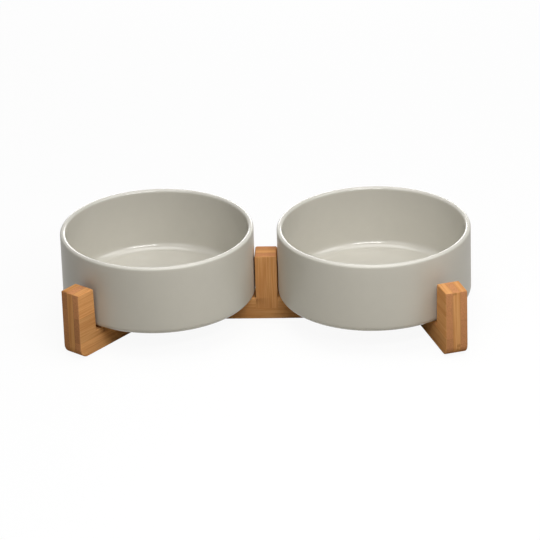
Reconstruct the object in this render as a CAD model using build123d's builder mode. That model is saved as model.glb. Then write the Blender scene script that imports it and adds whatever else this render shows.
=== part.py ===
from build123d import *
from math import sqrt
import os

# Double pet bowl: two loose ceramic bowls in a low bamboo stand with five uprights

os.makedirs("parts", exist_ok=True)

# Ceramic bowls
bowl_diameter = 155.0
bowl_height = 59.0
rim_thickness = 4.4
lower_wall_thickness = 5.8
floor_thickness = 7.3
floor_curve_radius = 7.0
base_edge_radius = 5.0
foot_ring_setback = 4.5
foot_ring_width = 7.0
foot_ring_height = 1.0
foot_ring_ease = 0.4
lip_round_share = 0.47

# Laminated bamboo bars, upright pieces and the spaces round the bowls
bar_thickness = 18.0
bar_height = 18.5
beam_width = 19.6
edge_ease = 0.6
upright_height = 55.5
upright_lean = 1.5
upright_top_radius = 2.2
heel_radius = 8.5
inner_corner_radius = 1.0
post_width = 17.6
post_top_radius = 1.5
bowl_post_clearance = 0.5
bowl_leg_clearance = 1.8

# Arms: each end of the beam carries a splayed one and a steep one, staggered along it
splayed_angle = 52.5
splayed_offset = 7.7
splayed_upright_depth = 19.5
steep_angle = 70.5
steep_offset = 36.9
steep_upright_depth = 22.5
beam_end_margin = 16.5

# Stopped half laps between the arms and the beam
lap_reach = 13.0
lap_share = 0.5
glue_gap = 0.1

# Countersunk wood screws, driven from below
screw_diameter = 3.5
screw_head_diameter = 6.6
screw_length = 15.0
post_screw_length = 25.0
screw_point_length = 3.0
screw_head_edge = 0.3
screw_recess_width = 0.9
screw_recess_span = 4.0
screw_recess_depth = 1.3
screw_sink = 0.3
screw_clearance = 0.15
screw_countersink_angle = 90.0
screw_lap_share = 0.5

# Soft pads under the uprights
pad_diameter = 10.0
pad_thickness = 1.5
pad_ease = 0.4
pad_heel_margin = 0.8

# Cuts run past the faces that they open
overrun = 2.0

# Places that follow from the sizes above
bowl_radius = bowl_diameter / 2
bowl_centre_x = bowl_radius + bowl_post_clearance + post_width / 2
beam_reach = bowl_centre_x + steep_offset + beam_end_margin
bar_base_z = pad_thickness
seat_z = bar_base_z + bar_height
lap_z = bar_base_z + bar_height * lap_share
half_bar = bar_thickness / 2
half_beam = beam_width / 2
countersink_radius = screw_head_diameter / 2 + screw_head_edge + screw_sink + screw_clearance

# Arms: angle to the beam, root's offset from the bowl's middle, depth of the upright
splayed_arm = (splayed_angle, splayed_offset, splayed_upright_depth)
steep_arm = (steep_angle, steep_offset, steep_upright_depth)

# Corners of the stand: end of the row, front or rear, arm
leg_corners = {
    "front_left": (-1, -1, *splayed_arm),
    "rear_left": (-1, 1, *steep_arm),
    "front_right": (1, -1, *steep_arm),
    "rear_right": (1, 1, *splayed_arm),
}


def arm_out(side, end, angle):
    """Direction of an arm, out from the beam."""
    return Vector(side, 0, 0).rotate(Axis.Z, side * end * angle)


def arm_root(side, offset, height):
    """Place where the middle line of an arm meets the middle line of the beam."""
    return Vector(side * (bowl_centre_x + offset), 0, height)


def arm_reach(angle, offset):
    """Reach from an arm's root to the foot of its upright, so that the upright clears the bowl."""
    out = arm_out(1, 1, angle)
    bowl_side = max(0, offset * out.Y - half_bar)
    return sqrt((bowl_radius + bowl_leg_clearance) ** 2 - bowl_side**2) - offset * out.X


def lap_stop(end, gap):
    """Upright plane where a lap stops inside the beam, facing the arm's side."""
    return Plane(origin=(0, end * (half_beam - lap_reach - gap), 0), z_dir=(0, end, 0))


def screw_point(side, end, angle, offset, height):
    """Place on the axis of a lap's screw, on the arm's middle line."""
    out = arm_out(side, end, angle)
    from_middle = half_beam - lap_reach * screw_lap_share
    return arm_root(side, offset, height) + out * (from_middle / (end * out.Y))


# Bowls: straight wall, rounded lip, curved floor corner and a foot ring
for bowl_name, bowl_side in (("bowl_left", -1), ("bowl_right", 1)):
    bowl_seat = Vector(bowl_side * bowl_centre_x, 0, seat_z)
    foot_outer = bowl_radius - base_edge_radius - foot_ring_setback
    foot_inner = foot_outer - foot_ring_width
    inner_top = bowl_radius - rim_thickness
    inner_foot = bowl_radius - lower_wall_thickness
    with BuildPart() as bowl:
        with BuildSketch(Plane(origin=bowl_seat, x_dir=(1, 0, 0), z_dir=(0, -1, 0))) as bowl_profile:
            with BuildLine():
                Polyline(
                    (0, foot_ring_height),
                    (foot_inner, foot_ring_height),
                    (foot_inner, 0),
                    (foot_outer, 0),
                    (foot_outer, foot_ring_height),
                    (bowl_radius, foot_ring_height),
                    (bowl_radius, bowl_height),
                    (inner_top, bowl_height),
                    (inner_foot, floor_thickness),
                    (0, floor_thickness),
                    close=True,
                )
            make_face()
            corners = bowl_profile.vertices()
            fillet(corners.sort_by_distance((bowl_radius, foot_ring_height))[0], base_edge_radius)
            lip = bowl_profile.vertices().group_by(Axis.Y)[-1]
            fillet(lip, rim_thickness * lip_round_share)
            corners = bowl_profile.vertices()
            fillet(corners.sort_by_distance((inner_foot, floor_thickness))[0], floor_curve_radius)
            foot = bowl_profile.vertices().group_by(Axis.Y)[0]
            fillet(foot, foot_ring_ease)
        revolve(axis=Axis(bowl_seat, (0, 0, 1)))
    bowl.part.label = bowl_name
    export_step(bowl.part, f"parts/{bowl_name}.step")

# Centre beam: carries both bowls, notched from below for the four arms
with BuildPart() as centre_beam:
    with BuildSketch(Plane.XY.offset(bar_base_z)):
        Rectangle(2 * beam_reach, beam_width)
    extrude(amount=bar_height)
    chamfer(centre_beam.edges(), edge_ease)
    # Housing for the post's foot
    with BuildSketch(Plane.XY.offset(lap_z)):
        Rectangle(post_width + 2 * glue_gap, beam_width + 2 * overrun)
    extrude(amount=bar_height, mode=Mode.SUBTRACT)
    # Laps for the arms, and pilot holes above them
    pilot_depth = screw_length + screw_sink - bar_height * lap_share - glue_gap + screw_clearance
    for side, end, angle, offset, depth in leg_corners.values():
        lap_foot = Plane(origin=arm_root(side, offset, bar_base_z - overrun), x_dir=arm_out(side, end, angle))
        with BuildPart(mode=Mode.PRIVATE) as lap:
            with BuildSketch(lap_foot):
                Rectangle(2 * (beam_width + lap_reach), bar_thickness + 2 * glue_gap)
            extrude(amount=bar_height * lap_share + glue_gap + overrun)
            split(bisect_by=lap_stop(end, glue_gap), keep=Keep.TOP)
        add(lap.part, mode=Mode.SUBTRACT)
        lap_top = screw_point(side, end, angle, offset, lap_z + glue_gap)
        with Locations(Plane(origin=lap_top, z_dir=(0, 0, -1))):
            Hole(screw_diameter / 2 + screw_clearance, depth=pilot_depth)
    # Clear hole for the post's screw
    with Locations(Plane(origin=(0, 0, bar_base_z), z_dir=(0, 0, -1))):
        CounterSinkHole(
            screw_diameter / 2 + screw_clearance,
            countersink_radius,
            depth=bar_height,
            counter_sink_angle=screw_countersink_angle,
        )
centre_beam.part.label = "centre_beam"
export_step(centre_beam.part, "parts/centre_beam.step")

# Centre post: foot housed in the beam, top corners rounded towards both bowls
post_foot_z = lap_z + glue_gap
post_top_z = bar_base_z + upright_height
with BuildPart() as centre_post:
    with BuildSketch(Plane(origin=(0, 0, post_foot_z), x_dir=(1, 0, 0), z_dir=(0, -1, 0))) as post_profile:
        Rectangle(post_width, post_top_z - post_foot_z, align=(Align.CENTER, Align.MIN))
        fillet(post_profile.vertices().group_by(Axis.Y)[-1], post_top_radius)
    extrude(amount=half_beam, both=True)
    post_faces = centre_post.faces().sort_by(Axis.Y)
    chamfer(post_faces[0].edges() + post_faces[-1].edges(), edge_ease)
    with Locations(Plane(origin=(0, 0, post_foot_z), z_dir=(0, 0, -1))):
        Hole(
            screw_diameter / 2 + screw_clearance,
            depth=post_screw_length + screw_sink + screw_clearance - (post_foot_z - bar_base_z),
        )
centre_post.part.label = "centre_post"
export_step(centre_post.part, "parts/centre_post.step")

# Legs: each one an arm and an upright cut in one piece from a board
for corner, (side, end, angle, offset, depth) in leg_corners.items():
    out = arm_out(side, end, angle)
    upright_foot = arm_reach(angle, offset)
    heel = upright_foot + depth
    leg_plane = Plane(origin=arm_root(side, offset, bar_base_z), x_dir=out, z_dir=out.cross(Vector(0, 0, 1)))
    with BuildPart() as leg:
        with BuildSketch(leg_plane) as leg_profile:
            with BuildLine():
                Polyline(
                    (-beam_width - lap_reach, 0),
                    (heel, 0),
                    (heel, upright_height),
                    (upright_foot + upright_lean, upright_height),
                    (upright_foot, bar_height),
                    (-beam_width - lap_reach, bar_height),
                    close=True,
                )
            make_face()
            corners = leg_profile.vertices()
            fillet(corners.sort_by_distance((heel, 0))[0], heel_radius)
            corners = leg_profile.vertices()
            fillet(corners.sort_by_distance((upright_foot + upright_lean, upright_height))[0], upright_top_radius)
            corners = leg_profile.vertices()
            fillet(corners.sort_by_distance((upright_foot, bar_height))[0], inner_corner_radius)
        extrude(amount=half_bar, both=True)
        leg_sides = leg.faces().sort_by(Axis((0, 0, 0), leg_plane.z_dir))
        chamfer(leg_sides[0].edges() + leg_sides[-1].edges(), edge_ease)
        # Tongue below, and a shoulder above that meets the side of the beam
        split(bisect_by=lap_stop(end, 0), keep=Keep.TOP)
        with BuildSketch(Plane.XY.offset(lap_z)):
            with Locations((arm_root(side, offset, lap_z).X, end * (half_beam + glue_gap))):
                Rectangle(
                    2 * (beam_width + lap_reach),
                    beam_width + lap_reach,
                    align=(Align.CENTER, Align.MAX if end > 0 else Align.MIN),
                )
        extrude(amount=bar_height, mode=Mode.SUBTRACT)
        with Locations(Plane(origin=screw_point(side, end, angle, offset, bar_base_z), z_dir=(0, 0, -1))):
            CounterSinkHole(
                screw_diameter / 2 + screw_clearance,
                countersink_radius,
                depth=bar_height,
                counter_sink_angle=screw_countersink_angle,
            )
    leg.part.label = f"{corner}_leg"
    export_step(leg.part, f"parts/{corner}_leg.step")

# Screws: four for the legs and a longer one for the post
screw_sets = {"post_screw": (Vector(0, 0, bar_base_z), post_screw_length)}
for corner, (side, end, angle, offset, depth) in leg_corners.items():
    screw_sets[f"{corner}_screw"] = (screw_point(side, end, angle, offset, bar_base_z), screw_length)
for screw_name, (screw_place, length) in screw_sets.items():
    head_z = screw_place + Vector(0, 0, screw_sink)
    head_radius = screw_head_diameter / 2
    shank_radius = screw_diameter / 2
    cone_top = screw_head_edge + head_radius - shank_radius
    with BuildPart() as screw:
        with BuildSketch(Plane(origin=head_z, x_dir=(1, 0, 0), z_dir=(0, -1, 0))):
            with BuildLine():
                Polyline(
                    (0, 0),
                    (head_radius, 0),
                    (head_radius, screw_head_edge),
                    (shank_radius, cone_top),
                    (shank_radius, length - screw_point_length),
                    (0, length),
                    close=True,
                )
            make_face()
        revolve(axis=Axis(head_z, (0, 0, 1)))
        with BuildSketch(Plane(origin=head_z)):
            Rectangle(screw_recess_span, screw_recess_width)
            Rectangle(screw_recess_width, screw_recess_span)
        extrude(amount=screw_recess_depth, mode=Mode.SUBTRACT)
    screw.part.label = screw_name
    export_step(screw.part, f"parts/{screw_name}.step")

# Pads: one under each upright
pad_inset = heel_radius + pad_heel_margin + pad_diameter / 2
pad_places = {"centre_pad": Vector(0, 0, 0)}
for corner, (side, end, angle, offset, depth) in leg_corners.items():
    pad_reach = arm_reach(angle, offset) + depth - pad_inset
    pad_places[f"{corner}_pad"] = arm_root(side, offset, 0) + arm_out(side, end, angle) * pad_reach
for pad_name, pad_place in pad_places.items():
    with BuildPart() as pad:
        with BuildSketch(Plane(origin=pad_place)):
            Circle(pad_diameter / 2)
        extrude(amount=pad_thickness)
        fillet(pad.edges().group_by(Axis.Z)[0], pad_ease)
    pad.part.label = pad_name
    export_step(pad.part, f"parts/{pad_name}.step")
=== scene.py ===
from math import atan2, cos, pi, radians, sin

import bmesh
import bpy
from bpy.props import FloatProperty, FloatVectorProperty, IntProperty, PointerProperty
from bpy.types import Operator, Panel, PropertyGroup
from mathutils import Matrix, Vector


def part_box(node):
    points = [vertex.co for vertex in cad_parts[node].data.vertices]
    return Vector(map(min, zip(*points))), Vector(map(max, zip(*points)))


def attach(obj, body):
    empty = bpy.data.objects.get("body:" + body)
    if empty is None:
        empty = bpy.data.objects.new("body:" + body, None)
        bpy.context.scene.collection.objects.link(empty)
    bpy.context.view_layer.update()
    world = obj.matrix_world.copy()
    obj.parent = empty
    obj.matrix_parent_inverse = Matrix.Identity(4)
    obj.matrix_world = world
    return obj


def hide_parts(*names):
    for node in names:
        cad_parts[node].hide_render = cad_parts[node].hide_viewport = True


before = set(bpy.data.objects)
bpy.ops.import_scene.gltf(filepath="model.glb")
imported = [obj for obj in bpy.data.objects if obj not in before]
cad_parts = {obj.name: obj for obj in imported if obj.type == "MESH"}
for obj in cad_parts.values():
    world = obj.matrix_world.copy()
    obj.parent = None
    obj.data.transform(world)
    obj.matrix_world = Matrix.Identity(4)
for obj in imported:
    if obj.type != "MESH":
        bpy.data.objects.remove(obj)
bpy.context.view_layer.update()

bl_info = {
    "name": "Double Pet Bowl",
    "version": (1, 0, 0),
    "blender": (4, 5, 0),
    "location": "View3D > Sidebar > Pet Bowl",
    "description": "Two glazed bowls that lift out of a bamboo stand",
    "category": "Add Mesh",
}

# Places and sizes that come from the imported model
CORNERS = {
    "front_left": (-1, -1, "splayed"),
    "rear_left": (-1, 1, "steep"),
    "front_right": (1, -1, "steep"),
    "rear_right": (1, 1, "splayed"),
}
BOWL_LOW, BOWL_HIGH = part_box("bowl_right")
BEAM_LOW, BEAM_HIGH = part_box("centre_beam")
POST_LOW, POST_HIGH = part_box("centre_post")
BOWL_RADIUS = (BOWL_HIGH[0] - BOWL_LOW[0]) / 2
BOWL_CENTRE_X = (BOWL_HIGH[0] + BOWL_LOW[0]) / 2
SEAT_Z = BEAM_HIGH[2]
BAR_BASE_Z = BEAM_LOW[2]
LAP_Z = (BAR_BASE_Z + SEAT_Z) / 2
BEAM_WIDTH = BEAM_HIGH[1] - BEAM_LOW[1]
OVERRUN = 0.002
HOLE_OVERRUN = 0.001

# Where along the pattern of the bamboo each board is cut
BEAM_CUT = 0.31
POST_CUT = 0.83
LEG_CUT, LEG_CUT_STEP = 0.17, 0.29

# Lamps: azimuth and elevation in degrees, distance, and width and height
LAMP_AIM = Vector((0, 0, 0.04))
LAMPS = {
    "key": ((20, 40), 0.7, (0.45, 0.07)),
    "left": ((-30, 30), 1.2, (0.5, 0.5)),
    "back": ((180, 14), 1.2, (0.8, 0.3)),
    "right": ((75, 45), 1.2, (0.6, 0.6)),
    "top": ((0, 89), 1.2, (1.0, 1.0)),
}


class BowlSettings(PropertyGroup):
    """Sizes and colours of the bowls."""
    rim_thickness: FloatProperty(
        name="Rim Thickness", description="Wall at the lip", default=0.0044, min=0.001, unit="LENGTH")
    lower_wall: FloatProperty(
        name="Lower Wall", description="Wall at the floor", default=0.0058, min=0.001, unit="LENGTH")
    floor_thickness: FloatProperty(
        name="Floor Thickness", description="Clay from the foot to the floor",
        default=0.0073, min=0.002, unit="LENGTH")
    floor_curve: FloatProperty(
        name="Floor Curve", description="Radius between wall and floor", default=0.007, min=0.001, unit="LENGTH")
    base_edge: FloatProperty(
        name="Base Edge", description="Radius round the outside of the base", default=0.005, min=0.001, unit="LENGTH")
    foot_setback: FloatProperty(
        name="Foot Setback", description="From the base edge to the foot ring",
        default=0.0045, min=0.0, unit="LENGTH")
    foot_width: FloatProperty(
        name="Foot Width", description="Width of the foot ring", default=0.007, min=0.001, unit="LENGTH")
    foot_height: FloatProperty(
        name="Foot Height", description="Height of the foot ring", default=0.001, min=0.0002, unit="LENGTH")
    foot_ease: FloatProperty(
        name="Foot Ease", description="Radius on the foot ring's edges", default=0.0004, min=0.0001, unit="LENGTH")
    segments: IntProperty(
        name="Segments", description="Steps round the bowl", default=192, min=48, max=512)
    glaze_colour: FloatVectorProperty(
        name="Glaze", description="Warm grey satin glaze", subtype="COLOR", size=4, default=(0.552, 0.529, 0.466, 1))
    # The lip colour is lighter partly for glaze that runs thin and partly as painted light where the rim faces up
    thin_glaze_and_painted_light_lip_colour: FloatVectorProperty(
        name="Lip", description="Glaze where it runs thin over the lip", subtype="COLOR", size=4,
        default=(0.592, 0.569, 0.504, 1))
    clay_colour: FloatVectorProperty(
        name="Clay", description="Bare fired clay of the foot ring", subtype="COLOR", size=4,
        default=(0.62, 0.56, 0.47, 1))


class StandSettings(PropertyGroup):
    """Sizes and colours of the stand."""
    splayed_angle: FloatProperty(
        name="Splayed Angle", description="Angle of a splayed arm to the beam",
        default=radians(52.5), subtype="ANGLE")
    splayed_offset: FloatProperty(
        name="Splayed Offset", description="From a bowl's middle out to a splayed arm's root",
        default=0.0077, unit="LENGTH")
    steep_angle: FloatProperty(
        name="Steep Angle", description="Angle of a steep arm to the beam", default=radians(70.5), subtype="ANGLE")
    steep_offset: FloatProperty(
        name="Steep Offset", description="From a bowl's middle out to a steep arm's root",
        default=0.0369, unit="LENGTH")
    bar_thickness: FloatProperty(
        name="Bar Thickness", description="Thickness of the boards that the legs are cut from",
        default=0.018, unit="LENGTH")
    lap_reach: FloatProperty(
        name="Lap Reach", description="Depth of an arm's tongue into the beam", default=0.013, unit="LENGTH")
    splayed_depth: FloatProperty(
        name="Splayed Depth", description="Foot of a splayed arm's upright, along the arm",
        default=0.0195, unit="LENGTH")
    steep_depth: FloatProperty(
        name="Steep Depth", description="Foot of a steep arm's upright, along the arm", default=0.0225, unit="LENGTH")
    upright_lean: FloatProperty(
        name="Upright Lean", description="Lean of the inner face, away from the bowl", default=0.0015, unit="LENGTH")
    upright_top_radius: FloatProperty(
        name="Upright Top Radius", description="Round on the inner top edge", default=0.0022, unit="LENGTH")
    leg_clearance: FloatProperty(
        name="Leg Clearance", description="From a bowl to the nearest corner of an upright",
        default=0.0018, unit="LENGTH")
    heel_radius: FloatProperty(
        name="Heel Radius", description="Round under the outer end of a leg", default=0.0085, unit="LENGTH")
    inner_corner: FloatProperty(
        name="Inner Corner", description="Radius between arm and upright", default=0.001, unit="LENGTH")
    post_top_radius: FloatProperty(
        name="Post Top Radius", description="Round on the post's top edges", default=0.0015, unit="LENGTH")
    edge_ease: FloatProperty(
        name="Edge Ease", description="Sanded round on the bamboo's edges", default=0.0009, unit="LENGTH")
    glue_gap: FloatProperty(
        name="Glue Line", description="Space in a glued joint", default=0.0001, unit="LENGTH")
    housing_gap: FloatProperty(
        name="Housing Gap", description="Space beside the foot of the post", default=0.00002, unit="LENGTH")
    strip_width: FloatProperty(
        name="Strip Width", description="Width of one bamboo strip in a layer", default=0.021, unit="LENGTH")
    light_grain: FloatVectorProperty(
        name="Light Grain", description="Pale fibres along a strip", subtype="COLOR", size=4,
        default=(0.720, 0.368, 0.142, 1))
    dark_grain: FloatVectorProperty(
        name="Dark Grain", description="Brown fibres along a strip", subtype="COLOR", size=4,
        default=(0.610, 0.275, 0.096, 1))
    end_grain: FloatVectorProperty(
        name="End Grain", description="Cut ends of the strips", subtype="COLOR", size=4,
        default=(0.580, 0.262, 0.114, 1))


class FittingSettings(PropertyGroup):
    """Sizes and colours of the screws and pads."""
    screw_radius: FloatProperty(
        name="Screw Radius", description="Outside of the thread", default=0.00175, unit="LENGTH")
    core_radius: FloatProperty(
        name="Core Radius", description="Screw between the threads", default=0.0012, unit="LENGTH")
    head_edge: FloatProperty(
        name="Head Edge", description="Straight edge of a screw's head", default=0.0003, unit="LENGTH")
    thread_pitch: FloatProperty(
        name="Thread Pitch", description="Rise of the thread in one turn", default=0.0014, unit="LENGTH")
    point_length: FloatProperty(
        name="Point Length", description="Tapered point of a screw", default=0.003, unit="LENGTH")
    screw_clearance: FloatProperty(
        name="Screw Clearance", description="Space round a screw", default=0.00015, unit="LENGTH")
    recess_width: FloatProperty(
        name="Recess Width", description="Arm of the cross recess", default=0.0009, unit="LENGTH")
    recess_span: FloatProperty(
        name="Recess Span", description="Span of the cross recess", default=0.004, unit="LENGTH")
    recess_depth: FloatProperty(
        name="Recess Depth", description="Depth of the cross recess", default=0.0013, unit="LENGTH")
    steel_colour: FloatVectorProperty(
        name="Steel", description="Zinc plating", subtype="COLOR", size=4, default=(0.60, 0.60, 0.57, 1))
    pad_colour: FloatVectorProperty(
        name="Pad", description="Soft grey pad", subtype="COLOR", size=4, default=(0.42, 0.42, 0.40, 1))


class StageSettings(PropertyGroup):
    """Floor, light and camera."""
    floor_colour: FloatVectorProperty(
        name="Floor", description="Studio floor as it is seen", subtype="COLOR", size=4,
        default=(0.93, 0.93, 0.93, 1))
    bounce_colour: FloatVectorProperty(
        name="Bounce", description="Floor as it throws light back on the object", subtype="COLOR", size=4,
        default=(0.36, 0.34, 0.28, 1))
    floor_white: FloatProperty(
        name="Floor White", description="Share of plain white in the floor that is seen", default=0.93, min=0, max=1)
    sky_strength: FloatProperty(name="Sky", description="Even light from all round", default=0.01)
    key_power: FloatProperty(name="Key Light", description="Wide strip in front", default=2.25, unit="POWER")
    left_power: FloatProperty(name="Left Light", description="Soft light low on the left", default=1.2, unit="POWER")
    back_power: FloatProperty(name="Back Light", description="Low light behind", default=4.0, unit="POWER")
    right_power: FloatProperty(name="Right Light", description="Soft light from the right", default=3.1, unit="POWER")
    top_power: FloatProperty(name="Top Light", description="Broad light overhead", default=9.0, unit="POWER")
    azimuth: FloatProperty(
        name="Azimuth", description="Camera round the object", default=radians(2.8), subtype="ANGLE")
    elevation: FloatProperty(
        name="Elevation", description="Camera above the floor", default=radians(25.36), subtype="ANGLE")
    roll: FloatProperty(name="Roll", description="Lean of the picture", default=radians(-1.85), subtype="ANGLE")
    distance: FloatProperty(name="Distance", description="Camera to its aim", default=2.984, unit="LENGTH")
    aim: FloatVectorProperty(
        name="Aim", description="Point in the middle of the picture", subtype="XYZ", unit="LENGTH",
        default=(0.0029, 0.0004, 0.0400))
    lens: FloatProperty(name="Lens", description="Focal length in millimetres", default=247.4)


# Mesh helpers

def take(piece):
    """Select one piece alone and make it active."""
    bpy.ops.object.select_all(action="DESELECT")
    piece.select_set(True)
    bpy.context.view_layer.objects.active = piece


def pick(piece, kind, test):
    """In edit mode, select the verts, edges or faces that pass a test, and nothing else."""
    bpy.ops.mesh.select_all(action="DESELECT")
    bpy.ops.mesh.select_mode(type={"verts": "VERT", "edges": "EDGE", "faces": "FACE"}[kind])
    mesh = bmesh.from_edit_mesh(piece.data)
    chosen = [item for item in getattr(mesh, kind) if test(item)]
    for item in chosen:
        item.select_set(True)
    mesh.select_flush_mode()
    bmesh.update_edit_mesh(piece.data)
    if not chosen:
        raise RuntimeError(f"nothing to select on {piece.name}")


def near(value, goal, slack=1e-5):
    """True where two lengths agree."""
    return abs(value - goal) < slack


def arc(centre, radius, start, end, steps):
    """Points of an arc in a turned profile, as radius and height, with both ends."""
    turn = [radians(start + (end - start) * i / steps) for i in range(steps + 1)]
    return [(centre[0] + radius * cos(t), centre[1] + radius * sin(t)) for t in turn]


def run(start, end, steps):
    """Points of a straight run in a turned profile, without its ends."""
    shares = [i / steps for i in range(1, steps)]
    return [(start[0] + (end[0] - start[0]) * s, start[1] + (end[1] - start[1]) * s) for s in shares]


def turned(name, profile, centre, segments):
    """Turn a profile: a circle is drawn out ring by ring, and both ends are closed on the axis."""
    x, y = centre
    radius, height = profile[0]
    bpy.ops.object.select_all(action="DESELECT")
    bpy.ops.mesh.primitive_circle_add(
        vertices=segments, radius=radius, fill_type="NOTHING", location=(x, y, height))
    piece = bpy.context.object
    piece.name = name
    bpy.ops.object.transform_apply(location=True, rotation=True, scale=True)
    bpy.ops.object.mode_set(mode="EDIT")
    bpy.ops.mesh.select_all(action="SELECT")
    bpy.ops.mesh.select_mode(type="EDGE")
    for new_radius, new_height in profile[1:]:
        bpy.ops.mesh.extrude_region_move(TRANSFORM_OT_translate={"value": (0, 0, new_height - height)})
        grow = new_radius / radius
        bpy.ops.transform.resize(value=(grow, grow, 1), center_override=(x, y, new_height))
        radius, height = new_radius, new_height
    bpy.ops.mesh.select_mode(type="VERT")
    bpy.ops.mesh.merge(type="CENTER")
    first = profile[0]
    pick(piece, "verts", lambda v: len(v.link_edges) == 3 and near(v.co.z, first[1], 1e-6)
         and near(Vector((v.co.x - x, v.co.y - y)).length, first[0], 1e-6))
    bpy.ops.mesh.merge(type="CENTER")
    bpy.ops.mesh.select_all(action="SELECT")
    bpy.ops.mesh.normals_make_consistent(inside=False)
    bpy.ops.object.mode_set(mode="OBJECT")
    return piece


def block(name, low, high):
    """A squared block between two corners, from a cube, with its place in its mesh."""
    low, high = Vector(low), Vector(high)
    bpy.ops.object.select_all(action="DESELECT")
    bpy.ops.mesh.primitive_cube_add(size=1, location=(low + high) / 2)
    piece = bpy.context.object
    piece.name = name
    piece.scale = high - low
    bpy.ops.object.transform_apply(location=True, rotation=True, scale=True)
    return piece


def round_edges(piece, test, radius, steps):
    """In edit mode, round the edges that pass a test."""
    pick(piece, "edges", test)
    bpy.ops.mesh.bevel(offset=radius, segments=steps, profile=0.5, affect="EDGES", clamp_overlap=False)


def sand_edges(piece, test, radius):
    """In edit mode, sand the edges that pass a test, and mark the points on the new rounds."""
    round_edges(piece, test, radius, 4)
    mesh = bmesh.from_edit_mesh(piece.data)
    layer = mesh.verts.layers.float.get("edge") or mesh.verts.layers.float.new("edge")
    for vert in mesh.verts:
        inside = vert.link_faces and all(face.select for face in vert.link_faces)
        vert[layer] = 1.0 if inside else 0.0
    bmesh.update_edit_mesh(piece.data)


def on_outline(half):
    """A test for the edges round the two broad faces of a board."""
    def test(edge):
        flat = [abs(face.normal.y) > 0.999 for face in edge.link_faces]
        return flat.count(True) == 1 and all(near(abs(v.co.y), half) for v in edge.verts)
    return test


def saw(piece, point, facing):
    """Saw a piece through a plane, keep the side that it faces, and close the cut."""
    take(piece)
    bpy.ops.object.mode_set(mode="EDIT")
    bpy.ops.mesh.select_all(action="SELECT")
    bpy.ops.mesh.bisect(plane_co=point, plane_no=facing, use_fill=True, clear_inner=True)
    bpy.ops.object.mode_set(mode="OBJECT")


def stand_at(piece, place, out):
    """Turn a piece from the X axis to a direction, put it in its place, and keep both in its mesh."""
    take(piece)
    piece.location = place
    piece.rotation_euler = (0, 0, atan2(out.y, out.x))
    bpy.ops.object.transform_apply(location=True, rotation=True, scale=True)


def cut(piece, cutter):
    """Take a cutter's shape out of a piece and remove the cutter."""
    take(piece)
    tool = piece.modifiers.new("cut", "BOOLEAN")
    tool.operation = "DIFFERENCE"
    tool.solver = "EXACT"
    tool.object = cutter
    bpy.ops.object.modifier_apply(modifier=tool.name)
    bpy.data.objects.remove(cutter, do_unlink=True)


def dress(piece, material, body, node, smooth=radians(32)):
    """Smooth a finished piece, give it its material, and put it in its node's place."""
    take(piece)
    bpy.ops.object.shade_smooth_by_angle(angle=smooth)
    piece.data.materials.clear()
    piece.data.materials.append(material)
    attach(piece, body)
    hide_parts(node)


def mark_board(piece, origin, along, across, shift):
    """Keep on each point where it lies in its board: along the outer layers' grain, along the core's, through."""
    along, across = Vector(along), Vector(across)
    through = along.cross(across)
    kept = {"board": [], "grain_along": [], "grain_across": []}
    for vert in piece.data.vertices:
        p = vert.co - Vector(origin)
        kept["board"] += (p.dot(along) + shift, p.dot(across) + shift / 3, p.dot(through))
        kept["grain_along"].extend(along)
        kept["grain_across"].extend(across)
    for name, values in kept.items():
        layer = piece.data.attributes.new(name, "FLOAT_VECTOR", "POINT")
        layer.data.foreach_set("vector", values)


# Shader helpers

def feed(tree, socket, value):
    """Link a socket to another node's output, or set it to a plain value."""
    if isinstance(value, bpy.types.NodeSocket):
        tree.links.new(value, socket)
    else:
        socket.default_value = value


def calc(tree, operation, a, b=0.0):
    """A sum on two values."""
    node = tree.nodes.new("ShaderNodeMath")
    node.operation = operation
    feed(tree, node.inputs[0], a)
    feed(tree, node.inputs[1], b)
    return node.outputs[0]


def vector_calc(tree, operation, a, b):
    """A sum on two vectors: a vector, or a value for a dot product."""
    node = tree.nodes.new("ShaderNodeVectorMath")
    node.operation = operation
    feed(tree, node.inputs[0], a)
    feed(tree, node.inputs[1], b)
    return node.outputs["Value" if operation == "DOT_PRODUCT" else "Vector"]


def blend(tree, kind, factor, a, b, mode="MIX"):
    """Mix two values, vectors or colours."""
    node = tree.nodes.new("ShaderNodeMix")
    node.data_type = kind
    first, out = {"FLOAT": (2, 0), "VECTOR": (4, 1), "RGBA": (6, 2)}[kind]
    if kind == "RGBA":
        node.blend_type = mode
    feed(tree, node.inputs[0], factor)
    feed(tree, node.inputs[first], a)
    feed(tree, node.inputs[first + 1], b)
    return node.outputs[out]


def ramp(tree, value, low, high, to_low=0.0, to_high=1.0, smooth=True):
    """Map a value from one range to another, held at the ends."""
    node = tree.nodes.new("ShaderNodeMapRange")
    node.interpolation_type = "SMOOTHSTEP" if smooth else "LINEAR"
    for socket, number in zip(node.inputs[:5], (value, low, high, to_low, to_high)):
        feed(tree, socket, number)
    return node.outputs[0]


def cloud(tree, place, scale, detail=2.0, rough=0.5):
    """Noise over a place."""
    node = tree.nodes.new("ShaderNodeTexNoise")
    feed(tree, node.inputs["Vector"], place)
    node.inputs["Scale"].default_value = scale
    node.inputs["Detail"].default_value = detail
    node.inputs["Roughness"].default_value = rough
    return node.outputs[0]


def split(tree, vector):
    """The three parts of a vector."""
    node = tree.nodes.new("ShaderNodeSeparateXYZ")
    feed(tree, node.inputs[0], vector)
    return node.outputs


def join(tree, x, y, z):
    """A vector from three parts."""
    node = tree.nodes.new("ShaderNodeCombineXYZ")
    for socket, value in zip(node.inputs, (x, y, z)):
        feed(tree, socket, value)
    return node.outputs[0]


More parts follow.
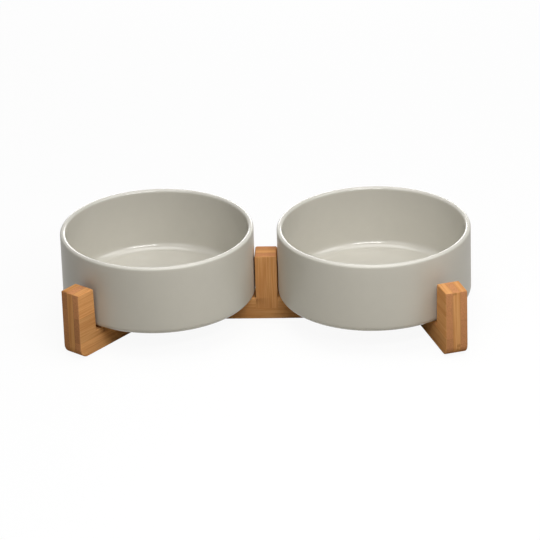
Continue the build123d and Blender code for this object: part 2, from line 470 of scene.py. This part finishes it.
def new_group(name, inputs, outputs):
    """An empty shader group with named sockets, and its input and output nodes."""
    kinds = {"value": "NodeSocketFloat", "vector": "NodeSocketVector", "colour": "NodeSocketColor"}
    group = bpy.data.node_groups.new(name, "ShaderNodeTree")
    for label, kind in inputs:
        group.interface.new_socket(name=label, in_out="INPUT", socket_type=kinds[kind])
    for label, kind in outputs:
        group.interface.new_socket(name=label, in_out="OUTPUT", socket_type=kinds[kind])
    return group, group.nodes.new("NodeGroupInput").outputs, group.nodes.new("NodeGroupOutput").inputs


def place_group(tree, group, **values):
    """Put a group in a material and feed its sockets, named with spaces for underscores."""
    node = tree.nodes.new("ShaderNodeGroup")
    node.node_tree = group
    for label, value in values.items():
        feed(tree, node.inputs[label.replace("_", " ")], value)
    return node.outputs


def new_material(name):
    """A material with a bare Principled shader, and its node tree."""
    material = bpy.data.materials.new(name)
    material.use_nodes = True
    tree = material.node_tree
    return material, tree, tree.nodes["Principled BSDF"].inputs


def attribute(tree, name, out="Vector"):
    """A value that is kept on the mesh."""
    node = tree.nodes.new("ShaderNodeAttribute")
    node.attribute_name = name
    return node.outputs[out]


def coordinates(tree, out):
    """The object's own coordinates or normal."""
    return tree.nodes.new("ShaderNodeTexCoord").outputs[out]


def bump(tree, height, strength, distance):
    """Surface relief from a height."""
    node = tree.nodes.new("ShaderNodeBump")
    node.inputs["Strength"].default_value = strength
    node.inputs["Distance"].default_value = distance
    feed(tree, node.inputs["Height"], height)
    return node.outputs["Normal"]


# Finishes: fibres are drawn out along the strip by these scales, and marks are dark lines on the bamboo
FINE_FIBRE = (24.0, 880.0, 880.0)
BROAD_FIBRE = (9.0, 420.0, 420.0)
END_FIBRE = (120.0, 1700.0, 1700.0)
STRIP_STAGGER = 0.0073
KNUCKLES_PER_METRE = 4.6
MARK_COLOUR = (0.28, 0.112, 0.036, 1)
GLAZE_INDEX = 1.65
OUTSIDE_ROUGHER = 0.3


def mottle_group():
    """Faint cloudy variation and fine grit, for glaze, plating and pads."""
    if "mottle" in bpy.data.node_groups:
        return bpy.data.node_groups["mottle"]
    group, given, out = new_group(
        "mottle", [("Place", "vector"), ("Colour", "colour"), ("Depth", "value")],
        [("Colour", "colour"), ("Cloud", "value"), ("Grit", "value")])
    slow = cloud(group, given["Place"], 22.0, 3.0, 0.55)
    mid = cloud(group, given["Place"], 140.0, 3.0, 0.6)
    fine = cloud(group, given["Place"], 1500.0, 2.0, 0.6)
    mixed = calc(group, "ADD", calc(group, "MULTIPLY", slow, 0.6), calc(group, "MULTIPLY", mid, 0.4))
    swing = calc(group, "MULTIPLY", calc(group, "SUBTRACT", mixed, 0.5), given["Depth"])
    gain = calc(group, "ADD", swing, 1.0)
    colour = blend(group, "RGBA", 1.0, given["Colour"], join(group, gain, gain, gain), "MULTIPLY")
    feed(group, out["Colour"], colour)
    feed(group, out["Cloud"], mixed)
    feed(group, out["Grit"], fine)
    return group


def bamboo_group():
    """Three glued layers of bamboo strips: long grain on the faces along a strip and cut ends across it."""
    group, given, out = new_group(
        "bamboo layers",
        [("Board", "vector"), ("Along", "vector"), ("Across", "vector"), ("Normal", "vector"), ("Edge", "value"),
         ("Layer", "value"), ("Strip", "value"), ("Light", "colour"), ("Dark", "colour"), ("End", "colour")],
        [("Colour", "colour"), ("Roughness", "value"), ("Height", "value")])
    board = given["Board"]
    a, b, c = split(group, board)
    depth = calc(group, "ABSOLUTE", c)
    half_core = calc(group, "MULTIPLY", given["Layer"], 0.5)
    from_glue = calc(group, "SUBTRACT", depth, half_core)
    core = ramp(group, from_glue, -0.00004, 0.00004, 1.0, 0.0)
    glue = ramp(group, calc(group, "ABSOLUTE", from_glue), 0.00004, 0.00022, 1.0, 0.0)
    # The core lies crosswise between the outer layers
    fibre = blend(group, "VECTOR", core, board, join(group, b, a, c))
    axis = blend(group, "VECTOR", core, given["Along"], given["Across"])
    facing = vector_calc(group, "DOT_PRODUCT", axis, given["Normal"])
    end = ramp(group, calc(group, "ABSOLUTE", facing), 0.45, 0.9)
    g, h = split(group, fibre)[:2]
    # Strips side by side in each layer, each with its own tone
    layer_side = calc(group, "MULTIPLY", calc(group, "SIGN", c), calc(group, "SUBTRACT", 1.0, core))
    stagger = calc(group, "ADD", h, calc(group, "MULTIPLY", layer_side, STRIP_STAGGER))
    strip = calc(group, "DIVIDE", stagger, given["Strip"])
    strip_number = calc(group, "FLOOR", strip)
    tone = group.nodes.new("ShaderNodeTexWhiteNoise")
    tone.noise_dimensions = "2D"
    feed(group, tone.inputs["Vector"], join(group, strip_number, layer_side, 0.0))
    from_middle = calc(group, "SUBTRACT", calc(group, "FRACT", strip), 0.5)
    seam = ramp(group, calc(group, "ABSOLUTE", from_middle), 0.485, 0.5)
    # Fibres, drawn out along the strip
    fine = cloud(group, vector_calc(group, "MULTIPLY", fibre, FINE_FIBRE), 1.0, 3.0, 0.62)
    broad = cloud(group, vector_calc(group, "MULTIPLY", fibre, BROAD_FIBRE), 1.0, 2.0, 0.5)
    streak = calc(group, "ADD", calc(group, "MULTIPLY", fine, 0.66), calc(group, "MULTIPLY", broad, 0.34))
    lines = ramp(group, streak, 0.41, 0.58)
    long_colour = blend(group, "RGBA", lines, given["Dark"], given["Light"])
    dots = cloud(group, vector_calc(group, "MULTIPLY", fibre, END_FIBRE), 1.0, 2.0, 0.6)
    dot_gain = ramp(group, dots, 0.35, 0.7, 0.84, 1.16)
    end_colour = blend(group, "RGBA", 1.0, given["End"], join(group, dot_gain, dot_gain, dot_gain), "MULTIPLY")
    colour = blend(group, "RGBA", end, long_colour, end_colour)
    strip_gain = ramp(group, tone.outputs["Value"], 0.0, 1.0, 0.88, 1.10, False)
    colour = blend(group, "RGBA", 1.0, colour, join(group, strip_gain, strip_gain, strip_gain), "MULTIPLY")
    # A knuckle of the stalk crosses each strip here and there
    knuckle_at = calc(group, "FRACT", calc(group, "ADD", calc(group, "MULTIPLY", g, KNUCKLES_PER_METRE),
                                           calc(group, "MULTIPLY", tone.outputs["Value"], 7.0)))
    wave = calc(group, "MULTIPLY", calc(group, "SUBTRACT", broad, 0.5), 0.012)
    knuckle_gap = calc(group, "ABSOLUTE", calc(group, "ADD", calc(group, "SUBTRACT", knuckle_at, 0.5), wave))
    knuckle = ramp(group, knuckle_gap, 0.002, 0.009, 1.0, 0.0)
    knuckle = calc(group, "MULTIPLY", knuckle, calc(group, "SUBTRACT", 1.0, end))
    marks = calc(group, "MAXIMUM", calc(group, "MULTIPLY", glue, 0.45),
                 calc(group, "MAXIMUM", calc(group, "MULTIPLY", knuckle, 0.45), calc(group, "MULTIPLY", seam, 0.3)))
    colour = blend(group, "RGBA", marks, colour, MARK_COLOUR)
    # Sanded edges are lightened towards the light grain: partly real wear, partly a painted highlight on the rounds
    edge_wear_and_painted_highlight = calc(group, "MULTIPLY", given["Edge"], ramp(group, broad, 0.3, 0.7, 0.08, 0.30))
    colour = blend(group, "RGBA", edge_wear_and_painted_highlight, colour, given["Light"])
    feed(group, out["Colour"], colour)
    rough = calc(group, "ADD", ramp(group, streak, 0.3, 0.7, 0.60, 0.48), calc(group, "MULTIPLY", end, 0.14))
    feed(group, out["Roughness"], rough)
    dents = calc(group, "ADD", calc(group, "MULTIPLY", glue, 0.5), calc(group, "MULTIPLY", seam, 0.5))
    raised = calc(group, "ADD", fine, calc(group, "MULTIPLY", knuckle, 0.6))
    feed(group, out["Height"], calc(group, "SUBTRACT", raised, dents))
    return group


def bamboo_material(stand):
    """Caramel bamboo in three layers under a clear satin finish."""
    if "laminated bamboo" in bpy.data.materials:
        return bpy.data.materials["laminated bamboo"]
    material, tree, shader = new_material("laminated bamboo")
    wood = place_group(
        tree, bamboo_group(),
        Board=attribute(tree, "board"), Along=attribute(tree, "grain_along"), Across=attribute(tree, "grain_across"),
        Normal=coordinates(tree, "Normal"), Edge=attribute(tree, "edge", "Fac"), Layer=stand.bar_thickness / 3,
        Strip=stand.strip_width, Light=stand.light_grain, Dark=stand.dark_grain, End=stand.end_grain)
    feed(tree, shader["Base Color"], wood["Colour"])
    feed(tree, shader["Roughness"], wood["Roughness"])
    feed(tree, shader["Normal"], bump(tree, wood["Height"], 0.35, 0.00012))
    shader["Specular IOR Level"].default_value = 0.0
    return material


def glaze_material(bowl):
    """Satin glaze, smoother inside than out, lighter over the lip (partly glaze that runs thin, partly painted light
    on the up-facing rim), and stops at the bare foot ring.
    """
    material, tree, shader = new_material("satin glaze")
    place = coordinates(tree, "Object")
    along, depth, height = split(tree, place)
    across = calc(tree, "SUBTRACT", calc(tree, "ABSOLUTE", along), BOWL_CENTRE_X)
    square = calc(tree, "ADD", calc(tree, "POWER", across, 2.0), calc(tree, "POWER", depth, 2.0))
    reach = calc(tree, "SQRT", square)
    outside = ramp(tree, reach, BOWL_RADIUS - 0.0018, BOWL_RADIUS - 0.0002)
    glaze = place_group(tree, mottle_group(), Place=place, Colour=bowl.glaze_colour, Depth=0.10)
    # Painted light and thin glaze: the colour is lightened towards the up-facing lip
    lip = ramp(tree, height, BOWL_HIGH[2] - 0.0042, BOWL_HIGH[2] - 0.0006)
    lip = calc(tree, "MULTIPLY", lip, ramp(tree, glaze["Cloud"], 0.35, 0.65, 0.55, 1.0))
    colour = blend(tree, "RGBA", lip, glaze["Colour"], bowl.thin_glaze_and_painted_light_lip_colour)
    wander = calc(tree, "MULTIPLY", calc(tree, "SUBTRACT", glaze["Cloud"], 0.5), 0.0007)
    bare = ramp(tree, calc(tree, "ADD", height, wander), SEAT_Z + 0.00035, SEAT_Z + 0.00055, 1.0, 0.0)
    clay = place_group(tree, mottle_group(), Place=place, Colour=bowl.clay_colour, Depth=0.25)
    colour = blend(tree, "RGBA", bare, colour, clay["Colour"])
    feed(tree, shader["Base Color"], colour)
    satin = ramp(tree, glaze["Cloud"], 0.3, 0.7, 0.13, 0.17)
    satin = calc(tree, "ADD", satin, calc(tree, "MULTIPLY", outside, OUTSIDE_ROUGHER))
    feed(tree, shader["Roughness"], blend(tree, "FLOAT", bare, satin, 0.86))
    shader["IOR"].default_value = GLAZE_INDEX
    grit = calc(tree, "MULTIPLY", glaze["Grit"], blend(tree, "FLOAT", bare, 0.02, 0.5))
    relief = calc(tree, "ADD", glaze["Cloud"], grit)
    feed(tree, shader["Normal"], bump(tree, relief, 0.03, 0.0003))
    return material


def steel_material(fitting):
    """Zinc-plated screw steel."""
    material, tree, shader = new_material("screw steel")
    place = coordinates(tree, "Object")
    plate = place_group(tree, mottle_group(), Place=place, Colour=fitting.steel_colour, Depth=0.35)
    feed(tree, shader["Base Color"], plate["Colour"])
    shader["Metallic"].default_value = 1.0
    feed(tree, shader["Roughness"], ramp(tree, plate["Grit"], 0.3, 0.7, 0.26, 0.42))
    feed(tree, shader["Normal"], bump(tree, plate["Grit"], 0.1, 0.00005))
    return material


def pad_material(fitting):
    """Soft grey pad with a fine matt grain."""
    material, tree, shader = new_material("pad rubber")
    place = coordinates(tree, "Object")
    skin = place_group(tree, mottle_group(), Place=place, Colour=fitting.pad_colour, Depth=0.3)
    feed(tree, shader["Base Color"], skin["Colour"])
    feed(tree, shader["Roughness"], ramp(tree, skin["Grit"], 0.3, 0.7, 0.52, 0.72))
    feed(tree, shader["Normal"], bump(tree, skin["Grit"], 0.3, 0.0001))
    return material


# Pieces

class PETBOWL_OT_bowls(Operator):
    """Turn both bowls, with lip, curved floor corner and foot ring"""
    bl_idname = "petbowl.bowls"
    bl_label = "Bowls"

    def execute(self, context):
        bowl = context.scene.petbowl_bowl
        material = glaze_material(bowl)
        tall = BOWL_HIGH[2] - BOWL_LOW[2]
        base = BOWL_LOW[2]
        radius = BOWL_RADIUS
        foot_outer = radius - bowl.base_edge - bowl.foot_setback
        foot_inner = foot_outer - bowl.foot_width
        ease = bowl.foot_ease
        under = bowl.foot_height
        half_rim = bowl.rim_thickness / 2
        corner = radius - bowl.lower_wall
        lean = atan2(bowl.lower_wall - bowl.rim_thickness, tall - bowl.floor_thickness)
        curve_x = corner - bowl.floor_curve * (1 - sin(lean)) / cos(lean)
        floor_z = bowl.floor_thickness
        shape = [(foot_inner * s, under) for s in (0.03, 0.2, 0.45, 0.7, 0.9, 0.985)]
        shape += [(foot_inner, under)]
        shape += arc((foot_inner + ease, ease), ease, 180, 270, 4)
        shape += arc((foot_outer - ease, ease), ease, 270, 360, 4)
        shape += [(foot_outer, under)]
        shape += run((foot_outer, under), (radius - bowl.base_edge, under), 3)
        shape += arc((radius - bowl.base_edge, under + bowl.base_edge), bowl.base_edge, 270, 360, 12)
        shape += run(shape[-1], (radius, tall - half_rim), 10)
        shape += arc((radius - half_rim, tall - half_rim), half_rim, 0, 180 - lean * 180 / pi, 18)
        wall_foot = (curve_x + bowl.floor_curve * cos(lean), floor_z + bowl.floor_curve * (1 - sin(lean)))
        shape += run(shape[-1], wall_foot, 10)
        shape += arc((curve_x, floor_z + bowl.floor_curve), bowl.floor_curve, -lean * 180 / pi, -90, 18)
        shape += [(curve_x * s, floor_z) for s in (0.9, 0.7, 0.45, 0.2, 0.03)]
        profile = [(r, base + z) for r, z in shape]
        for side, body, node in ((-1, "left_bowl", "bowl_left"), (1, "right_bowl", "bowl_right")):
            piece = turned(f"{node}_glazed", profile, (side * BOWL_CENTRE_X, 0), bowl.segments)
            dress(piece, material, body, node)
        return {"FINISHED"}


def arm_places(stand, corner):
    """Direction of an arm, its root on the beam's middle line, and its reach to its upright and to its heel."""
    side, end, kind = CORNERS[corner]
    angle = getattr(stand, f"{kind}_angle")
    offset = getattr(stand, f"{kind}_offset")
    out = Vector((side * cos(angle), end * sin(angle), 0))
    root = Vector((side * (BOWL_CENTRE_X + offset), 0, BAR_BASE_Z))
    bowl_side = max(0.0, offset * sin(angle) - stand.bar_thickness / 2)
    reach = ((BOWL_RADIUS + stand.leg_clearance) ** 2 - bowl_side ** 2) ** 0.5 - offset * cos(angle)
    return out, root, reach, reach + getattr(stand, f"{kind}_depth")


def middle(node):
    """Place of a round piece's axis, seen from above."""
    low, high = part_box(node)
    return (low[0] + high[0]) / 2, (low[1] + high[1]) / 2


def sink_radius(node, fitting):
    """Radius of a screw's countersink at the underside of the bamboo."""
    low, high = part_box(node)
    return (high[0] - low[0]) / 2 + fitting.head_edge + (low[2] - BAR_BASE_Z) + fitting.screw_clearance


def screw_hole(name, centre, bottom, top, fitting, head_radius=None):
    """A cutter for a screw's hole, countersunk from below where the head's radius is given."""
    hole = fitting.screw_radius + fitting.screw_clearance
    if head_radius is None:
        profile = [(hole * 0.1, bottom), (hole, bottom), (hole, top), (hole * 0.1, top)]
    else:
        start = bottom - HOLE_OVERRUN
        profile = [(head_radius * 0.1, start), (head_radius + HOLE_OVERRUN, start),
                   (hole, bottom + head_radius - hole), (hole, top), (hole * 0.1, top)]
    return turned(name, profile, centre, 32)


class PETBOWL_OT_centre_beam(Operator):
    """Cut the centre beam, with stopped laps for the four arms and the housing for the post"""
    bl_idname = "petbowl.centre_beam"
    bl_label = "Centre Beam"

    def execute(self, context):
        stand = context.scene.petbowl_stand
        fitting = context.scene.petbowl_fitting
        half = BEAM_WIDTH / 2
        piece = block("centre_beam_bamboo", BEAM_LOW, BEAM_HIGH)
        bpy.ops.object.mode_set(mode="EDIT")
        sand_edges(piece, lambda edge: True, stand.edge_ease)
        bpy.ops.object.mode_set(mode="OBJECT")
        # Housing for the post's foot
        room = POST_HIGH[0] + stand.housing_gap
        deep = half + OVERRUN
        cut(piece, block("housing_cutter", (-room, -deep, LAP_Z), (room, deep, SEAT_Z + OVERRUN)))
        # Laps for the arms, with pilot holes above them
        size = BEAM_WIDTH + stand.lap_reach
        room = stand.bar_thickness / 2 + stand.glue_gap
        for corner, (_, end, _) in CORNERS.items():
            out, root = arm_places(stand, corner)[:2]
            lap = block("lap_cutter", (-size, -room, -OVERRUN), (size, room, LAP_Z + stand.glue_gap - BAR_BASE_Z))
            stand_at(lap, root, out)
            saw(lap, (0, end * (half - stand.lap_reach - stand.glue_gap), 0), (0, end, 0))
            cut(piece, lap)
            screw = f"{corner}_screw"
            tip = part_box(screw)[1][2] + fitting.screw_clearance
            cut(piece, screw_hole("pilot_cutter", middle(screw), LAP_Z - OVERRUN, tip, fitting))
        head = sink_radius("post_screw", fitting)
        cut(piece, screw_hole("post_hole_cutter", (0, 0), BAR_BASE_Z, SEAT_Z, fitting, head))
        mark_board(piece, (0, 0, BAR_BASE_Z), (1, 0, 0), (0, 0, 1), BEAM_CUT)
        dress(piece, bamboo_material(stand), "stand", "centre_beam")
        return {"FINISHED"}


class PETBOWL_OT_centre_post(Operator):
    """Cut the centre post, rounded towards both bowls"""
    bl_idname = "petbowl.centre_post"
    bl_label = "Centre Post"

    def execute(self, context):
        stand = context.scene.petbowl_stand
        fitting = context.scene.petbowl_fitting
        half = BEAM_WIDTH / 2
        top = POST_HIGH[2]
        piece = block("centre_post_bamboo", POST_LOW, POST_HIGH)
        bpy.ops.object.mode_set(mode="EDIT")
        bpy.ops.mesh.select_all(action="SELECT")
        bpy.ops.mesh.bisect(plane_co=(0, 0, SEAT_Z), plane_no=(0, 0, 1))

        def top_edge(edge):
            return all(near(v.co.z, top) for v in edge.verts) and near(edge.verts[0].co.x, edge.verts[1].co.x)
        round_edges(piece, top_edge, stand.post_top_radius, 8)
        outline = on_outline(half)

        def free_edge(edge):
            return outline(edge) and all(v.co.z > SEAT_Z - 1e-5 for v in edge.verts)
        sand_edges(piece, free_edge, stand.edge_ease)
        bpy.ops.object.mode_set(mode="OBJECT")
        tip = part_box("post_screw")[1][2] + fitting.screw_clearance
        cut(piece, screw_hole("pilot_cutter", (0, 0), POST_LOW[2] - OVERRUN, tip, fitting))
        mark_board(piece, (0, 0, POST_LOW[2]), (0, 0, 1), (1, 0, 0), POST_CUT)
        dress(piece, bamboo_material(stand), "stand", "centre_post")
        return {"FINISHED"}


def leg_pattern(stand, reach, heel):
    """One L-shaped leg on the X axis: an arm drawn out from a block and an upright drawn up from its end."""
    half = stand.bar_thickness / 2
    arm_top = SEAT_Z - BAR_BASE_Z
    top = POST_HIGH[2] - BAR_BASE_Z
    leg = block("leg_pattern", (-BEAM_WIDTH - stand.lap_reach, -half, 0), (heel, half, arm_top))
    bpy.ops.object.mode_set(mode="EDIT")
    bpy.ops.mesh.select_all(action="SELECT")
    bpy.ops.mesh.bisect(plane_co=(reach, 0, 0), plane_no=(1, 0, 0))
    pick(leg, "faces", lambda f: f.normal.z > 0.9 and f.calc_center_median().x > reach)
    bpy.ops.mesh.extrude_region_move(TRANSFORM_OT_translate={"value": (0, 0, top - arm_top)})
    pick(leg, "verts", lambda v: near(v.co.x, reach) and near(v.co.z, top))
    bpy.ops.transform.translate(value=(stand.upright_lean, 0, 0))

    def across(x, z):
        return lambda edge: all(near(v.co.x, x) and near(v.co.z, z) for v in edge.verts)
    round_edges(leg, across(heel, 0), stand.heel_radius, 12)
    round_edges(leg, across(reach + stand.upright_lean, top), stand.upright_top_radius, 8)
    round_edges(leg, across(reach, arm_top), stand.inner_corner, 4)
    round_edges(leg, across(heel, top), stand.edge_ease * 0.7, 3)
    sand_edges(leg, on_outline(half), stand.edge_ease)
    bpy.ops.object.mode_set(mode="OBJECT")
    return leg


class PETBOWL_OT_legs(Operator):
    """Cut a splayed and a steep leg from a board, copy each to two corners and fit the copies to the beam"""
    bl_idname = "petbowl.legs"
    bl_label = "Legs"

    def execute(self, context):
        stand = context.scene.petbowl_stand
        fitting = context.scene.petbowl_fitting
        half = BEAM_WIDTH / 2
        size = BEAM_WIDTH + stand.lap_reach
        patterns = {}
        for number, (corner, (_, end, kind)) in enumerate(CORNERS.items()):
            out, root, reach, heel = arm_places(stand, corner)
            if kind not in patterns:
                patterns[kind] = leg_pattern(stand, reach, heel)
            piece = patterns[kind].copy()
            piece.data = patterns[kind].data.copy()
            piece.name = f"{corner}_leg_bamboo"
            context.collection.objects.link(piece)
            stand_at(piece, root, out)
            # Tongue below, and a shoulder above that meets the side of the beam
            saw(piece, (0, end * (half - stand.lap_reach), 0), (0, end, 0))
            shoulder, back = end * (half + stand.glue_gap), -end * size
            low_corner = (root.x - size, min(shoulder, back), LAP_Z)
            high_corner = (root.x + size, max(shoulder, back), SEAT_Z + OVERRUN)
            cut(piece, block("shoulder_cutter", low_corner, high_corner))
            screw = f"{corner}_screw"
            head = sink_radius(screw, fitting)
            cut(piece, screw_hole("hole_cutter", middle(screw), BAR_BASE_Z, LAP_Z + OVERRUN, fitting, head))
            mark_board(piece, root, out, (0, 0, 1), LEG_CUT + LEG_CUT_STEP * number)
            dress(piece, bamboo_material(stand), "stand", f"{corner}_leg")
        for pattern in patterns.values():
            bpy.data.objects.remove(pattern, do_unlink=True)
        return {"FINISHED"}


class PETBOWL_OT_screws(Operator):
    """Turn the wood screws, with thread and cross recess"""
    bl_idname = "petbowl.screws"
    bl_label = "Screws"

    def execute(self, context):
        fitting = context.scene.petbowl_fitting
        material = steel_material(fitting)
        crest, core, pitch = fitting.screw_radius, fitting.core_radius, fitting.thread_pitch
        for node in ["post_screw"] + [f"{name}_screw" for name in CORNERS]:
            low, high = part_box(node)
            x, y = middle(node)
            head = (high[0] - low[0]) / 2
            neck = low[2] + fitting.head_edge + head - crest
            shoulder = high[2] - fitting.point_length
            rings = int((shoulder - neck) / (pitch / 8))
            profile = [(head * s, low[2]) for s in (0.04, 0.5, 0.97)]
            profile += [(head, low[2] + head * 0.03), (head, low[2] + fitting.head_edge), (crest, neck)]
            profile += run((crest, neck), (crest, shoulder), rings)
            profile += [(crest, shoulder)]
            profile += run((crest, shoulder), (crest * 0.06, high[2]), 16)
            profile += [(crest * 0.06, high[2])]
            piece = turned(f"{node}_steel", profile, (x, y), 28)
            # Thread: the metal between the turns is drawn in to the core
            start = neck + pitch
            for vert in piece.data.vertices:
                arm = Vector((vert.co.x - x, vert.co.y - y))
                if vert.co.z < start or arm.length < crest * 0.1:
                    continue
                turns = (vert.co.z - start) / pitch - atan2(arm.y, arm.x) / (2 * pi)
                ridge = max(0.0, 1 - abs((turns % 1.0) - 0.5) / 0.22)
                fade = min(1.0, (vert.co.z - start) / pitch)
                share = 1 - fade * (1 - (core + (crest - core) * ridge) / crest)
                vert.co.x, vert.co.y = x + arm.x * share, y + arm.y * share
            span, width = fitting.recess_span / 2, fitting.recess_width / 2
            start, deep = low[2] - HOLE_OVERRUN, low[2] + fitting.recess_depth
            for i, j in ((span, width), (width, span)):
                cut(piece, block("recess_cutter", (x - i, y - j, start), (x + i, y + j, deep)))
            dress(piece, material, "stand", node)
        return {"FINISHED"}


class PETBOWL_OT_pads(Operator):
    """Turn the soft pads under the uprights"""
    bl_idname = "petbowl.pads"
    bl_label = "Pads"

    def execute(self, context):
        fitting = context.scene.petbowl_fitting
        material = pad_material(fitting)
        for node in ["centre_pad"] + [f"{name}_pad" for name in CORNERS]:
            low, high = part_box(node)
            radius = (high[0] - low[0]) / 2
            thick = high[2] - low[2]
            edge = thick * 0.35
            profile = [(radius * s, low[2]) for s in (0.05, 0.4, 0.75)]
            profile += arc((radius - edge, low[2] + edge), edge, 270, 360, 8)
            profile += arc((radius - edge * 0.3, high[2] - edge * 0.3), edge * 0.3, 0, 90, 4)
            profile += [(radius * s, high[2]) for s in (0.75, 0.4, 0.05)]
            piece = turned(f"{node}_soft", profile, middle(node), 64)
            dress(piece, material, "stand", node)
        return {"FINISHED"}


# Stage

def towards(azimuth, elevation):
    """A direction from the object: to the right of the front, and above the floor."""
    return Vector((sin(azimuth) * cos(elevation), -cos(azimuth) * cos(elevation), sin(elevation)))


def area_light(name, angles, distance, size, power):
    """A soft light, wide by high, that faces the object from an azimuth and an elevation in degrees."""
    data = bpy.data.lights.new(name, "AREA")
    data.shape = "RECTANGLE"
    data.size, data.size_y = size
    data.energy = power
    light = bpy.data.objects.new(name, data)
    away = towards(radians(angles[0]), radians(angles[1]))
    light.location = LAMP_AIM + away * distance
    light.rotation_euler = (-away).to_track_quat("-Z", "Y").to_euler()
    bpy.context.collection.objects.link(light)


def seen_rays(tree):
    """One for rays that show the background: seen straight, in a reflection or through glass."""
    path = tree.nodes.new("ShaderNodeLightPath").outputs
    return calc(tree, "MAXIMUM", path["Is Camera Ray"],
                calc(tree, "MAXIMUM", path["Is Glossy Ray"], path["Is Transmission Ray"]))


class PETBOWL_OT_stage(Operator):
    """Lay the white floor and set the lights and the camera"""
    bl_idname = "petbowl.stage"
    bl_label = "Stage"

    def execute(self, context):
        stage = context.scene.petbowl_stage
        bpy.ops.object.select_all(action="DESELECT")
        bpy.ops.mesh.primitive_plane_add(size=24, location=(0, 0, 0))
        floor = context.object
        floor.name = "floor"
        material, tree, shader = new_material("studio floor")
        seen = seen_rays(tree)
        feed(tree, shader["Base Color"], blend(tree, "RGBA", seen, stage.bounce_colour, stage.floor_colour))
        shader["Roughness"].default_value = 0.9
        shader["Specular IOR Level"].default_value = 0.0
        white = tree.nodes.new("ShaderNodeEmission")
        mix = tree.nodes.new("ShaderNodeMixShader")
        feed(tree, mix.inputs[0], calc(tree, "MULTIPLY", seen, stage.floor_white))
        feed(tree, mix.inputs[1], tree.nodes["Principled BSDF"].outputs[0])
        feed(tree, mix.inputs[2], white.outputs[0])
        feed(tree, tree.nodes["Material Output"].inputs["Surface"], mix.outputs[0])
        floor.data.materials.append(material)

        world = bpy.data.worlds.new("studio")
        world.use_nodes = True
        context.scene.world = world
        tree = world.node_tree
        strength = blend(tree, "FLOAT", seen_rays(tree), stage.sky_strength, 1.0)
        feed(tree, tree.nodes["Background"].inputs["Strength"], strength)
        tree.nodes["Background"].inputs["Color"].default_value = (1, 1, 1, 1)

        for name, (angles, distance, size) in LAMPS.items():
            area_light(f"{name}_light", angles, distance, size, getattr(stage, f"{name}_power"))

        data = bpy.data.cameras.new("camera")
        data.sensor_fit = "HORIZONTAL"
        data.sensor_width = 36.0
        data.lens = stage.lens
        data.clip_end = 100.0
        camera = bpy.data.objects.new("camera", data)
        away = towards(stage.azimuth, stage.elevation)
        camera.location = Vector(stage.aim) + away * stage.distance
        look = (-away).to_track_quat("-Z", "Y").to_matrix() @ Matrix.Rotation(stage.roll, 3, "Z")
        camera.rotation_euler = look.to_euler()
        context.collection.objects.link(camera)
        context.scene.camera = camera
        context.scene.view_settings.view_transform = "Standard"
        return {"FINISHED"}


class PETBOWL_PT_panel(Panel):
    """Sidebar panel that lists the pieces"""
    bl_label = "Pet Bowl"
    bl_idname = "PETBOWL_PT_panel"
    bl_space_type = "VIEW_3D"
    bl_region_type = "UI"
    bl_category = "Pet Bowl"

    def draw(self, context):
        for operator in OPERATORS:
            self.layout.operator(operator.bl_idname)
        for name in SETTINGS:
            settings = getattr(context.scene, name)
            box = self.layout.box()
            for label in settings.__annotations__:
                box.prop(settings, label)


SETTINGS = {
    "petbowl_bowl": BowlSettings,
    "petbowl_stand": StandSettings,
    "petbowl_fitting": FittingSettings,
    "petbowl_stage": StageSettings,
}
OPERATORS = (
    PETBOWL_OT_bowls,
    PETBOWL_OT_centre_beam,
    PETBOWL_OT_centre_post,
    PETBOWL_OT_legs,
    PETBOWL_OT_screws,
    PETBOWL_OT_pads,
    PETBOWL_OT_stage,
)


def register():
    for kind in (*SETTINGS.values(), *OPERATORS, PETBOWL_PT_panel):
        bpy.utils.register_class(kind)
    for name, kind in SETTINGS.items():
        setattr(bpy.types.Scene, name, PointerProperty(type=kind))


def unregister():
    for name in SETTINGS:
        delattr(bpy.types.Scene, name)
    for kind in reversed((*SETTINGS.values(), *OPERATORS, PETBOWL_PT_panel)):
        bpy.utils.unregister_class(kind)


def main():
    register()
    bpy.ops.petbowl.bowls()
    bpy.ops.petbowl.centre_beam()
    bpy.ops.petbowl.centre_post()
    bpy.ops.petbowl.legs()
    bpy.ops.petbowl.screws()
    bpy.ops.petbowl.pads()
    bpy.ops.petbowl.stage()


if __name__ == "__main__":
    main()
